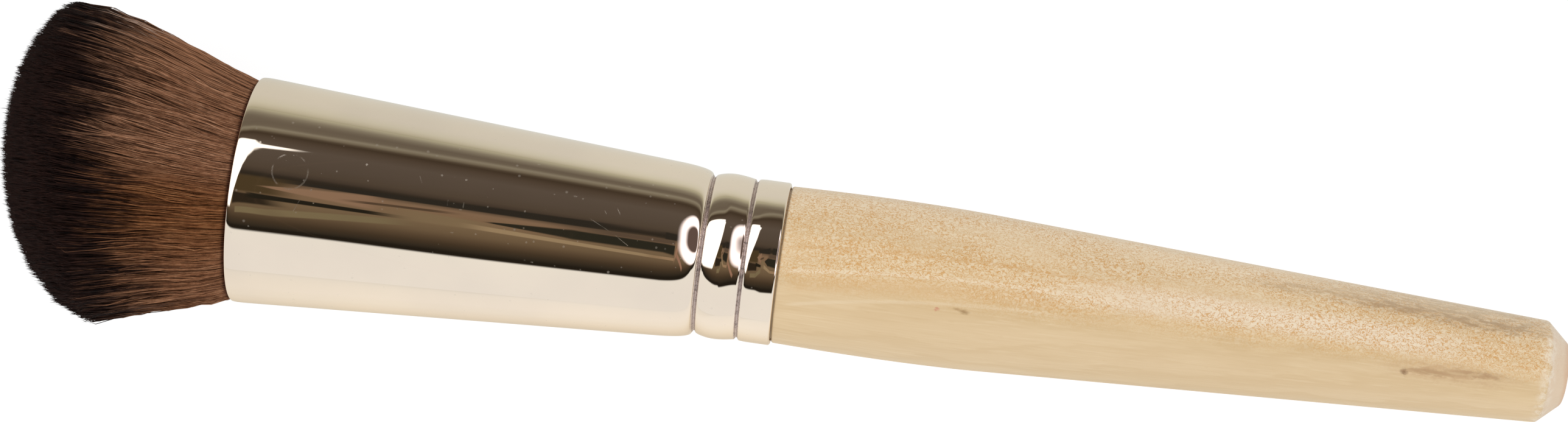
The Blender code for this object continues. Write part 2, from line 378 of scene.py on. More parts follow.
def crimpOutline(station, edgeRadius):
    size = ferruleSizes
    shares = np.linspace(-1, 1, 15)
    dips = size["crimpDepth"] * np.cos(shares * math.pi / 2) ** 1.5
    return [(edgeRadius - dip, station + share * size["crimpWidth"] / 2) for share, dip in zip(shares, dips)]


def makeFerrule():
    size = ferruleSizes
    outside = np.array(ferruleOutline())
    ways = np.gradient(outside, axis=0)
    ways /= np.linalg.norm(ways, axis=1)[:, None]
    inside = outside + np.stack([-ways[:, 1], ways[:, 0]], axis=1) * size["sheet"]
    inside[:, 1] = np.minimum(np.maximum.accumulate(inside[:, 1]), size["length"])
    inside[:, 0] = np.minimum(inside[:, 0], outside[:, 0] - size["sheet"] * 0.2)
    return spun("ferrule_polished", np.vstack([outside, inside[::-1]]), closed=True)


ferrule = makeFerrule()
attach(ferrule, "root")
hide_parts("ferrule")
print("ferrule made")


# Handle

handleSizes = {
    "tenonTop": 26.0 * mm,
    "tenonRadius": 7.52 * mm,
    "tenonRound": 0.8 * mm,
    "seatRadius": 7.72 * mm,
    "seatFrom": 6 * mm,  # how far above the grip the tenon starts to widen to its seat
    "seatFull": 3 * mm,
    "gripTop": 55.52 * mm,
    "gripTopRadius": 8.11 * mm,
    "swellStation": 68.7 * mm,
    "taperStation": 77.0 * mm,
    "taperRadius": 8.06 * mm,
    "buttRadius": 5.24 * mm,
    "chamferLength": 2.3 * mm,
    "buttFlatRadius": 3.15 * mm,
    "buttRound": 0.6 * mm,
    "topRound": 0.25 * mm,
}


def handleOutline():
    size = handleSizes
    end = brush["buttStation"]
    slope = (size["taperRadius"] - size["buttRadius"]) / (end - size["chamferLength"] - size["taperStation"])
    swellRadius = size["taperRadius"] + slope * (size["taperStation"] - size["swellStation"])
    swell = Vector((swellRadius, size["swellStation"]))
    top = Vector((size["gripTopRadius"], size["gripTop"]))
    taper = Vector((size["taperRadius"], size["taperStation"]))
    butt = (size["buttRadius"], end - size["chamferLength"])
    flat = (size["buttFlatRadius"], end)
    points = [(0.0, size["tenonTop"])]
    tenonEdge = (size["tenonRadius"], size["tenonTop"])
    points += filleted(points[0], tenonEdge, (size["tenonRadius"], size["gripTop"]), size["tenonRound"], 6)
    points.append((size["tenonRadius"], size["gripTop"] - size["seatFrom"]))
    points.append((size["seatRadius"], size["gripTop"] - size["seatFull"]))
    points.append((size["seatRadius"], size["gripTop"]))
    points += filleted(points[-1], tuple(top), tuple(swell), size["topRound"], 6)
    for share in np.linspace(0.06, 1, 40):
        points.append(tuple(top.lerp(swell, share).lerp(swell.lerp(taper, share), share)))
    for share in np.linspace(0.02, 0.97, 60):
        points.append(tuple(taper.lerp(Vector(butt), share)))
    points += filleted(tuple(taper), butt, flat, size["buttRound"], 8)
    points += filleted(butt, flat, (0.0, end), size["buttRound"], 8)
    points.append((0.0, end))
    return points


handle = spun("handle_wood", handleOutline())
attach(handle, "root")
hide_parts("handle")
print("handle made")


# Bristles

bristleSizes = {
    "crownHeight": 25.42 * mm,
    "crownRoll": 10.9 * mm,
    "crownReach": 0.972,  # the share of a quarter turn that the crown's edge has rolled through
    "crownSlant": 2.04 * mm,
    "crownSkew": 0.15,  # how much more the crown rolls down on the near side
    "lengthSpread": 0.17 * mm,
    "flareStart": 11.26 * mm,
    "flareSlope": 0.326,
    "straightTo": 13.5 * mm,
    "settleOver": 4.3 * mm,
    "neckGrip": 0.12 * mm,
    "neckOver": 0.45 * mm,
    "neckSag": 0.19 * mm,
    "sagStation": 2.5 * mm,
    "sagOver": 3.5 * mm,
    "crownShift": 0.06 * mm,
    "shiftFrom": 9 * mm,
    "shiftOver": 8 * mm,
    "rootDepth": 1.2 * mm,
    "innerStart": 8 * mm,  # the innermost filaments are hidden below this height, and start at it
    "thickness": 0.056 * mm,
    "clumps": 500,
    "clumpPull": 0.07,
    "sways": [(0.2 * mm, 0.22, 20 * mm), (0.14 * mm, 0.08, 12 * mm), (0.1 * mm, 0.018, 7 * mm)],
    "wander": 0.085 * mm,  # how far a filament strays from its neighbours between two rings
    "strayShare": 0.012,
    "strayReach": 0.6 * mm,
    "floorBlend": 0.4 * mm,
    "coreShare": 0.8,
    "coreDepth": 3.6 * mm,
}

# each ring of filaments: from which share of the head's half-width to which it lies, how many there are, and
# where along them the rings of the mesh are
bristleRings = {
    "bristles_outer": (0.935, 0.992, 3400, (0, 0.05, 0.08, 0.14, 0.24, 0.37, 0.52, 0.67, 0.82, 0.965, 1)),
    "bristles_under": (0.86, 0.935, 4200, (0, 0.055, 0.1, 0.22, 0.39, 0.58, 0.78, 0.965, 1)),
    "bristles_middle": (0.66, 0.86, 6000, (0, 0.07, 0.34, 0.66, 0.96, 1)),
    "bristles_inner": (0.0, 0.66, 10500, (0, 0.5, 0.95, 1)),
}


def flareRadius(height):
    size = bristleSizes
    over = np.maximum(height - size["straightTo"], 0)
    settling = size["settleOver"] * (1 - np.exp(-over / size["settleOver"]))
    settled = np.minimum(height, size["straightTo"]) + settling
    grip = size["neckGrip"] * np.exp(-np.maximum(height, 0) / size["neckOver"])
    return size["flareStart"] + size["flareSlope"] * np.maximum(settled, 0) - grip


def crownHeight(spots):
    size = bristleSizes
    reach = np.minimum(np.hypot(spots[:, 0], spots[:, 1]), 1) * size["crownReach"]
    roll = size["crownRoll"] * (1 - np.sqrt(1 - reach**2)) * (1 - size["crownSkew"] * spots[:, 1])
    return size["crownHeight"] - roll + size["crownSlant"] * spots[:, 1]


def headLean(height):
    # the whole head hangs a little to one side at the neck and to the other at the crown
    size = bristleSizes
    sag = size["neckSag"] * np.exp(-(((height - size["sagStation"]) / size["sagOver"]) ** 2))
    crown = np.clip((height - size["shiftFrom"]) / size["shiftOver"], 0, 1)
    return size["crownShift"] * crown**2 * (3 - 2 * crown) - sag


def offTheFloor(places):
    # filaments that would reach under the floor are pressed up against it
    ways = brushPlace.to_3x3()
    height = mouthCentre.z + places @ np.array(ways[2])
    blendOver = bristleSizes["floorBlend"]
    pressed = 0.5 * (height + np.sqrt(height**2 + blendOver**2))
    near = height < 3 * blendOver
    places = places.copy()
    places[..., 0] += np.where(near, pressed - height, 0) / ways[2][0]
    return places


def swayed(middle, spots, height, share, rng):
    # neighbours bend together, in wide tufts, in narrow ones and each a little by itself
    for reach, tuft, wave in bristleSizes["sways"]:
        for _ in range(4):
            turn, way, start = rng.uniform(0, 2 * math.pi, 3)
            across = (spots[:, :1] * math.cos(turn) + spots[:, 1:] * math.sin(turn)) * 2 * math.pi / tuft
            bend = np.sin(across + 2 * math.pi * height / (wave * rng.uniform(0.8, 1.3)) + start)
            bend *= reach * 0.5 * np.minimum(share * 2.5, 1)
            middle += bend[..., None] * np.array([math.cos(way), math.sin(way)])
    return middle


def strandFaces(levels):
    # the faces of one three-sided strand, and where their corners lie in its cell of the map
    rows = len(levels) - 1
    faces = [(0, 2, 1)]
    corners = [((0.1, 0.05), (0.5, 0.0), (0.9, 0.05))]
    for row in range(rows):
        low, high = 0.05 + 0.9 * levels[row], 0.05 + 0.9 * levels[row + 1]
        for corner in range(3):
            after = (corner + 1) % 3
            left, right = 0.1 + corner * 0.8 / 3, 0.1 + (corner + 1) * 0.8 / 3
            first = row * 3
            if row < rows - 1:
                faces.append((first + corner, first + after, first + 3 + after, first + 3 + corner))
                corners.append(((left, low), (right, low), (right, high), (left, high)))
            else:
                faces.append((first + corner, first + after, first + 3))
                corners.append(((left, low), (right, low), ((left + right) / 2, high)))
    return faces, corners


def strands(name, ring, rng):
    size = bristleSizes
    inner, outer, count, ringLevels = ring
    spots = discSpots(count, inner, outer, rng)
    heights = crownHeight(spots) + rng.normal(0, size["lengthSpread"], count)
    stray = rng.random(count) < size["strayShare"]
    heights += np.where(stray, rng.uniform(0, size["strayReach"], count), 0)
    centres = rng.uniform(-1, 1, (2 * size["clumps"], 2))
    near = np.array([centres[np.argmin(((centres - spot) ** 2).sum(1))] for spot in spots])
    levels = np.array(ringLevels)
    start = -size["rootDepth"] if inner else size["innerStart"]
    z = start + (heights[:, None] - start) * levels[None, :]
    share = np.clip(z / heights[:, None], 0, 1)
    pull = (size["clumpPull"] * share**4)[..., None]
    middle = (spots[:, None, :] * (1 - pull) + near[:, None, :] * pull) * flareRadius(z)[..., None]
    middle = swayed(middle, spots, z, share, rng)
    middle += rng.normal(0, size["wander"], middle.shape) * np.minimum(share * 6, 1)[..., None]
    middle[..., 1] += headLean(z)
    turnStart = rng.uniform(0, 2 * math.pi, count)
    widths = size["thickness"] * rng.uniform(0.75, 1.25, count)
    thick = widths[:, None] * (1 - 0.3 * share**3)
    rings = []
    for corner in range(3):
        turn = turnStart + corner * 2 * math.pi / 3
        offset = np.stack([np.cos(turn), np.sin(turn)], axis=1)[:, None, :] * thick[..., None]
        rings.append(np.concatenate([middle + offset, z[..., None]], axis=2))
    rows = len(levels) - 1
    body = np.stack(rings, axis=2)[:, :-1].reshape(count, rows * 3, 3)
    tip = np.concatenate([middle[:, -1], z[:, -1:]], axis=1)[:, None, :]
    places = offTheFloor(np.concatenate([body, tip], axis=1))
    perStrand = rows * 3 + 1
    pattern, cellCorners = strandFaces(ringLevels)
    starts = range(0, count * perStrand, perStrand)
    faces = [tuple(first + corner for corner in face) for first in starts for face in pattern]
    mesh = bpy.data.meshes.new(name)
    mesh.from_pydata(places.reshape(-1, 3).tolist(), [], faces)
    grid = math.ceil(math.sqrt(count))
    cornersFlat = np.array([uv for face in cellCorners for uv in face])
    cells = np.stack([np.arange(count) % grid, np.arange(count) // grid], axis=1)
    chart = mesh.uv_layers.new(name="OFBake")
    chart.data.foreach_set("uv", ((cells[:, None, :] + cornersFlat[None]) / grid).astype(np.float32).ravel())
    # what the colour follows: the strand's own spot in the head with its height, and a tone of its own
    lay = np.concatenate([np.repeat(spots[:, None, :], perStrand, axis=1), places[..., 2:] / mm], axis=2)
    tones = np.repeat(rng.random(count), perStrand)
    layData = mesh.attributes.new("lay", "FLOAT_VECTOR", "POINT").data
    layData.foreach_set("vector", lay.astype(np.float32).ravel())
    toneData = mesh.attributes.new("strandTone", "FLOAT", "POINT").data
    toneData.foreach_set("value", tones.astype(np.float32))
    mesh.shade_smooth()
    return inScene(name, mesh, brushPlace)


def discSpots(count, inner, outer, rng):
    # an even scatter over a ring of the unit disc
    step = math.pi * (3 - math.sqrt(5))
    index = np.arange(count) + 0.5
    reach = np.sqrt(inner**2 + (outer**2 - inner**2) * index / count)
    turn = index * step + rng.uniform(-0.25, 0.25, count)
    reach = np.clip(reach + rng.normal(0, 0.006, count), 0, outer)
    return np.stack([reach * np.cos(turn), reach * np.sin(turn)], axis=1)


def makeCore():
    # the dense middle of the head, a little inside the tips
    size = bristleSizes
    steps = 40
    reaches = np.linspace(0, 1, steps)
    spots = np.stack([reaches, np.zeros(steps)], axis=1)
    tops = crownHeight(spots) - size["coreDepth"]
    crown = [(reach * size["coreShare"] * float(flareRadius(top)), -top) for reach, top in zip(reaches, tops)]
    wall = []
    for height in np.linspace(tops[-1] - 0.5 * mm, -size["rootDepth"], 24):
        wall.append((size["coreShare"] * float(flareRadius(np.array(height))), -height))
    core = spun("bristle_core", crown + wall + [(0.0, size["rootDepth"])])
    slant = size["crownSlant"] / float(flareRadius(np.array(16 * mm)))
    for vert in core.data.vertices:
        vert.co.z += max(vert.co.z, 0) / size["crownHeight"] * slant * vert.co.y
    flat = np.array([vert.co for vert in core.data.vertices])
    core.data.vertices.foreach_set("co", offTheFloor(flat).ravel())
    core.data.update()
    return core


def makeBristles():
    rng = np.random.default_rng(11)
    pieces = [strands(name, ring, rng) for name, ring in bristleRings.items()]
    pieces.append(makeCore())
    for piece in pieces:
        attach(piece, "root")
        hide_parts("bristle_bundle")
    return pieces


bristles = makeBristles()
print("bristles made")


# Effects that several finishes share


def newGroup(name, inputs, outputs):
    group = bpy.data.node_groups.new(name, "ShaderNodeTree")
    for way, sockets in (("INPUT", inputs), ("OUTPUT", outputs)):
        for socketName, kind, *startValue in sockets:
            socket = group.interface.new_socket(socketName, in_out=way, socket_type="NodeSocket" + kind)
            if startValue:
                socket.default_value = startValue[0]
    return group, group.nodes.new("NodeGroupInput").outputs, group.nodes.new("NodeGroupOutput")


def makeSpeckGroup():
    # scattered small dots, such as dust, pores or bubbles
    inputs = [("Vector", "Vector"), ("Scale", "Float", 1500.0)]
    inputs += [("Share", "Float", 0.2), ("Size", "Float", 0.2)]
    group, given, made = newGroup("speckScatter", inputs, [("Mask", "Float")])
    cells = fedNode("TexVoronoi", {"Vector": given["Vector"], "Scale": given["Scale"]})
    chance = fedNode("SeparateColor", {0: cells["Color"]})
    kept = sums("LESS_THAN", chance[0], given["Share"])
    dot = sums("DIVIDE", cells["Distance"], times(given["Size"], plus(chance[1], 0.3)))
    feed(made, "Mask", times(kept, soften(dot, 1.0, 0.5)))
    return group


def makeMottleGroup():
    # two tones that drift into each other
    inputs = [("Vector", "Vector"), ("Scale", "Float", 100.0), ("Contrast", "Float", 0.25)]
    inputs += [("First", "Color", (0, 0, 0, 1)), ("Second", "Color", (1, 1, 1, 1))]
    group, given, made = newGroup("mottle", inputs, [("Color", "Color"), ("Mask", "Float")])
    cloud = noise(given["Vector"], given["Scale"], 4)
    share = soften(cloud, minus(0.5, given["Contrast"]), plus(0.5, given["Contrast"]))
    feed(made, "Color", blend(share, given["First"], given["Second"]))
    feed(made, "Mask", share)
    return group


speckGroup = makeSpeckGroup()
mottleGroup = makeMottleGroup()


def placed(group, **values):
    return fedNode("Group", values, node_tree=group)


def ringMask(places, centre, radius, width):
    # a thin ring on the surface round a centre
    return soften(offBy(vectorSums("DISTANCE", places, centre), radius), width, width * 0.4)


def patchMask(places, centre, halves, soft):
    # a soft patch round a centre, with its own half-length on each axis
    away = vectorSums("DIVIDE", vectorSums("SUBTRACT", places, centre), halves)
    return soften(vectorSums("LENGTH", away), 1 + soft / 2, 1 - soft / 2)


# Metal finish

metalLook = {
    "tint": tone(238, 223, 203),
    "haze": tone(228, 214, 197),
    "polish": (0.012, 0.03),  # the roughness of the clearest spots and of the dullest
    "dust": tone(205, 196, 182),
    "dustShare": 0.45,
    # painted shade: the crimps' darker, speckled colours; their roughness is the metal's own
    "groove": tone(214, 200, 192),
    "grooveDark": tone(150, 139, 133),
    "grooveHalf": 0.26 * mm,
    "grooveRough": 0.42,  # how much rougher the metal is in the crimps
    "ringAt": (5.6 * mm, 12.0),  # a faint round mark: its station and its turn in degrees
    "ringRadius": 1.8 * mm,
    "ringHalf": 0.11 * mm,
    "ringShare": 0.3,
}

# fine scratches on the cone. Each has the station in millimetres and the turn in degrees towards the far side
# where it starts, the same where it ends, its half-width in millimetres and its strength.
metalScratches = [
    (36.0, 11.5, 38.7, 3.8, 0.05, 0.5),
    (38.7, 3.8, 40.2, -1.9, 0.045, 0.6),
    (18.5, 20.5, 18.8, 16.8, 0.05, 0.35),
    (38.6, 20.6, 39.0, 16.6, 0.06, 0.6),
    (37.4, 17.6, 37.6, 15.8, 0.05, 0.5),
    (21.7, 9.4, 21.7, 6.6, 0.07, 0.35),
    (23.3, 9.4, 23.3, 6.6, 0.07, 0.4),
    (6.97, -2.3, 6.5, -7.9, 0.06, 0.3),
    (30.1, -18.9, 30.9, -19.6, 0.11, 1.0),
]


def conePlace(station, turn):
    # a spot on the cone's surface
    radius = coneRadius(station)
    return Vector((radius * math.cos(math.radians(turn)), radius * math.sin(math.radians(turn)), -station))


def lineMask(places, start, end, half):
    # a straight stroke between two spots
    way = end - start
    away = vectorSums("SUBTRACT", places, start)
    share = sums("DIVIDE", vectorSums("DOT_PRODUCT", away, way), way.length_squared)
    nearest = scaled(way, sums("MINIMUM", larger(share, 0.0), 1.0))
    return soften(vectorSums("DISTANCE", away, nearest), half, half * 0.4)


def metalFinish():
    look = metalLook
    material, tree, shader = newMaterial("champagne_mirror")
    places = objectPlaces(tree)
    tones = {"First": look["tint"], "Second": look["haze"]}
    tint = placed(mottleGroup, Vector=places, Scale=70, Contrast=0.3, **tones)
    dust = placed(speckGroup, Vector=places, Scale=950, Share=0.7, Size=0.14)["Mask"]
    drawnOut = stretched(places, 1, 1, 0.4)
    grit = placed(speckGroup, Vector=drawnOut, Scale=700, Share=0.3, Size=0.07)["Mask"]
    dusty = times(larger(dust, grit), look["dustShare"])
    broken = soften(noise(places, 900, 3), 0.36, 0.56)
    ring = ringMask(places, conePlace(*look["ringAt"]), look["ringRadius"], look["ringHalf"])
    dusty = larger(dusty, times(ring, look["ringShare"], broken))
    for start, startTurn, end, endTurn, half, share in metalScratches:
        line = lineMask(places, conePlace(start * mm, startTurn), conePlace(end * mm, endTurn), half * mm)
        dusty = larger(dusty, times(line, share, broken))
    # the crimps: rougher metal, with painted shade that darkens them in speckles
    groove = 0.0
    z = splitPlaces(places)[2]
    for station in ferruleSizes["crimpStations"]:
        off = sums("ABSOLUTE", plus(z, station))
        groove = larger(groove, soften(off, look["grooveHalf"], look["grooveHalf"] * 0.7))
    grain = noise(places, 2600, 3, 0.7)
    grooveTone = blend(soften(grain, 0.5, 0.68), look["groove"], look["grooveDark"])
    colour = blend(groove, tint["Color"], grooveTone)
    feed(shader, "Base Color", blend(times(dusty, 0.5), colour, look["dust"]))
    polish = soften(noise(places, 120, 4), 0.4, 0.75, *look["polish"])
    feed(shader, "Roughness", plus(polish, times(groove, look["grooveRough"]), times(dusty, 0.22)))
    feed(shader, "Metallic", minus(1.0, times(dusty, 0.25)))
    feed(shader, "Normal", bump(times(grain, groove), 0.6, 0.00004))
    return material


# Wood finish

woodLook = {
    "pale": tone(230, 204, 165),
    "warm": tone(217, 188, 142),
    "ringDark": tone(206, 174, 126),
    "ringShare": 0.3,
    "ringSpacing": 2.6 * mm,
    "ringWarp": 4.5 * mm,  # how far the rings wander
    "pith": (-31 * mm, -12 * mm),  # where the middle of the tree was, seen along the handle
    "lean": 0.055,
    "fleck": tone(208, 153, 80),
    "fleckShare": 0.88,
    # painted highlight beside the ray flecks
    "paintedGleam": tone(243, 228, 202),
    "paintedGleamShare": 0.3,
    "poreShare": 0.16,
    "rayTurn": 0.72,  # radians from the top to where the wood is cut square to its rings
    "fibrePale": tone(238, 216, 180),
    "scuff": tone(240, 230, 214),
    "scuffHalf": 1.1 * mm,
    "scuffShare": 0.6,
    "chamfer": tone(230, 208, 184),
    "endGrain": tone(220, 182, 150),
    # painted light: the far side is coloured paler
    "farSideLight": tone(244, 226, 198),
    "farSideLightShare": 0.32,
    "specular": 0.3,
    "coatRoughness": 0.26,
}

# growth lines that show on the upper side, and one broad painted highlight among them. Each has three
# (station, side) spots that it runs through, its half-width and how far its start fades in, all in
# millimetres, then its colour and its strength.
growthLines = [
    (((56.5, -0.56), (74.0, 0.92), (92.0, 0.65)), 0.2, 1, tone(240, 222, 194), 0.42),
    (((57.0, -1.7), (70.0, -0.55), (84.0, -0.2)), 0.85, 1, tone(214, 176, 124), 0.42),
    (((57.0, -3.9), (68.6, -2.05), (84.0, -1.3)), 0.18, 1, tone(236, 216, 184), 0.34),
    (((57.0, 2.0), (72.0, 2.9), (90.0, 2.5)), 0.2, 1, tone(210, 166, 108), 0.4),
    # painted highlight: this broad whitish line lies where the lacquer shines
    (((86.0, 1.3), (106.0, 1.5), (124.0, 1.1)), 1.3, 11, tone(240, 224, 202), 0.6),
    (((60.0, -5.4), (90.0, -4.6), (128.0, -3.2)), 2.6, 6, tone(208, 180, 138), 0.3),
]

# small marks on the wood. Each has its station from the mouth, its distance to the far side, its half-width
# and its half-length, all in millimetres, then its colour and its strength.
woodMarks = [
    (71.9, -2.28, 0.17, 0.24, tone(200, 104, 90), 1.0),
    (74.7, -2.2, 0.2, 0.5, tone(160, 126, 80), 0.8),
    (73.9, -2.0, 0.14, 0.4, tone(178, 142, 96), 0.7),
    (119.4, -1.95, 0.28, 0.34, tone(122, 88, 56), 1.0),
    (122.2, -1.62, 0.3, 2.4, tone(152, 116, 78), 0.9),
    (126.6, -1.25, 0.36, 2.6, tone(158, 122, 84), 0.9),
    (124.0, -1.5, 0.9, 5.6, tone(200, 164, 122), 0.7),
    (128.0, 3.9, 0.7, 6.0, tone(166, 134, 96), 0.75),
    (118.5, 4.4, 0.6, 6.0, tone(172, 138, 98), 0.75),
    (108.0, 4.9, 0.6, 5.0, tone(186, 154, 112), 0.6),
    (124.0, 5.2, 1.2, 13.0, tone(184, 158, 124), 0.6),
]


def growthLine(y, z, spots, half, ease):
    # a soft line that runs along the grain through three spots, bent as a parabola
    stations, sides = (np.array(spots).T * mm).tolist()
    bend = np.polyfit(stations, sides, 2).tolist()
    station = times(z, -1.0)
    middle = plus(times(plus(times(station, bend[0]), bend[1]), station), bend[2])
    starts = soften(station, stations[0] - ease, stations[0] + ease)
    ends = soften(station, stations[2] + 6 * mm, stations[2] - 6 * mm)
    return times(soften(offBy(y, middle), half * 1.6, half * 0.3), starts, ends)


def woodHeight(station, side):
    # how high the handle's surface lies above its axis at a mark
    size = handleSizes
    taperLength = brush["buttStation"] - size["chamferLength"] - size["taperStation"]
    share = (station - size["taperStation"]) / taperLength
    radius = size["taperRadius"] + (size["buttRadius"] - size["taperRadius"]) * max(share, -0.05)
    return math.sqrt(radius**2 - side**2)


def woodFinish():
    look = woodLook
    material, tree, shader = newMaterial("lacquered_birch")
    places = objectPlaces(tree)
    x, y, z = splitPlaces(places)
    # growth rings round a pith that the handle leans away from
    warp = drawnNoise(places, 110, 26, scale=5).node.outputs["Color"]
    drift = splitPlaces(scaled(vectorSums("SUBTRACT", warp, (0.5, 0.5, 0.5)), look["ringWarp"]))[0]
    leaning = plus(x, times(z, look["lean"]))
    away = joined(minus(leaning, look["pith"][0]), minus(y, look["pith"][1]))
    reach = plus(vectorSums("LENGTH", away), drift)
    ring = sums("FRACT", sums("DIVIDE", reach, look["ringSpacing"]))
    late = times(soften(ring, 0.3, 0.8), soften(ring, 1.0, 0.84))
    broad = drawnNoise(places, 150, 12, distortion=0.3)
    colour = ramp(broad, [(0.3, look["warm"]), (0.7, look["pale"])])
    colour = blend(times(late, look["ringShare"]), colour, look["ringDark"])
    fibre = drawnNoise(places, 4200, 160, 3, 0.6)
    colour = blend(soften(fibre, 0.5, 0.85, 0.0, 0.55), colour, look["fibrePale"])
    colour = blend(soften(fibre, 0.5, 0.2, 0.0, 0.4), colour, look["ringDark"])
    # painted light: a paler far side; and the growth lines on the upper one, one of them a painted highlight
    turn = sums("ARCTAN2", y, x)
    colour = blend(soften(turn, 0.1, 1.0, 0.0, look["farSideLightShare"]), colour, look["farSideLight"])
    upper = soften(x, 0.0, 1.5 * mm)
    for spots, half, ease, lineTone, share in growthLines:
        line = growthLine(y, z, spots, half * mm, ease * mm)
        colour = blend(times(line, upper, share), colour, lineTone)
    # ray flecks where the rings stand on edge, with a pale painted highlight beside them, and fine pores
    zone = soften(sums("ABSOLUTE", sums("COSINE", minus(turn, look["rayTurn"]))), 0.45, 0.85)
    patchy = times(soften(drawnNoise(places, 260, 90), 0.3, 0.6, 0.45, 1.0), zone)
    scribble = drawnNoise(places, 760, 560, 1, distortion=0.7, scale=5)
    fleck = times(soften(offBy(scribble, 0.47), 0.065, 0.015), patchy, look["fleckShare"])
    colour = blend(fleck, colour, look["fleck"])
    paintedGleam = times(soften(scribble, 0.56, 0.68), patchy, look["paintedGleamShare"])
    colour = blend(paintedGleam, colour, look["paintedGleam"])
    grain = stretched(places, 1, 1, 0.35)
    pores = placed(speckGroup, Vector=grain, Scale=1500, Share=0.3, Size=0.2)["Mask"]
    colour = blend(times(pores, look["poreShare"]), colour, look["ringDark"])
    # the small marks, with ragged edges
    ragged = vectorSums("SUBTRACT", scribble.node.outputs["Color"], (0.5, 0.5, 0.5))
    patchily = soften(drawnNoise(places, 2600, 700), 0.38, 0.6, 0.35, 1.0)
    for *sizes, markTone, share in woodMarks:
        station, side, across, along = (size * mm for size in sizes)
        middle = (woodHeight(station, side), side, -station)
        spot = vectorSums("ADD", places, vectorSums("MULTIPLY", ragged, (across * 1.6,) * 3))
        mask = patchMask(spot, middle, (3 * mm, across, along), 1.3)
        colour = blend(times(mask, patchily, share), colour, markTone)
    # the turned butt: bare pinkish end grain, and a line of scuffed lacquer where its bevel starts
    chamferStart = handleSizes["chamferLength"] - brush["buttStation"]
    depth = plus(z, spread(noise(places, 500, 3), 0.9 * mm))
    bare = soften(depth, chamferStart, chamferStart - 0.35 * mm, 0.0, 0.75)
    colour = blend(bare, colour, look["chamfer"])
    flat = soften(depth, -brush["buttStation"] + 0.8 * mm, -brush["buttStation"] + 0.2 * mm, 0.0, 0.8)
    colour = blend(flat, colour, look["endGrain"])
    scuff = soften(offBy(depth, chamferStart), look["scuffHalf"], 0.1 * mm)
    scuff = times(scuff, soften(noise(places, 1300, 4, 0.7), 0.4, 0.62))
    feed(shader, "Base Color", blend(times(scuff, look["scuffShare"]), colour, look["scuff"]))
    feed(shader, "Roughness", soften(fibre, 0.3, 0.7, 0.48, 0.62))
    feed(shader, "Specular IOR Level", look["specular"])
    feed(shader, "Coat Weight", soften(scuff, 0.0, 0.8, 0.7, 0.2))
    feed(shader, "Coat Roughness", look["coatRoughness"])
    feed(shader, "Normal", bump(plus(fibre, late), 0.35, 0.00003))
    return material


# Filament finish

hairLook = {
    "brownDark": tone(100, 64, 44),
    "brown": tone(146, 101, 73),
    "brownPale": tone(184, 138, 108),
    "warmth": tone(218, 200, 169),  # what a band below the middle is multiplied by
    # painted light: the far edge of the head is coloured paler and redder
    "farEdgeLit": tone(220, 160, 120),
    "farEdgeLitShare": 0.3,
    "pale": tone(200, 172, 154),  # split ends along the far edge
    # painted shadow at the roots, by the ferrule's lip
    "rootShade": tone(150, 130, 130),
    "tipDark": tone(10, 5, 4),
    "tip": tone(50, 31, 26),
    "darkFrom": 4.4,  # millimetres before the middle of the change of colour
    "darkTo": 5.2,
    "changeLow": 8.3,
    "changeHigh": 11.1,
    "changeFar": 1.9,  # how much later still it comes at the far edge
    "strandRagged": 5.0,  # how unevenly it comes, in millimetres, from strand to strand
    "tuftRagged": 12.0,  # and from tuft to tuft
    "normalShare": 0.5,  # how far a filament is lit as part of the whole head
    "specular": 0.06,
}


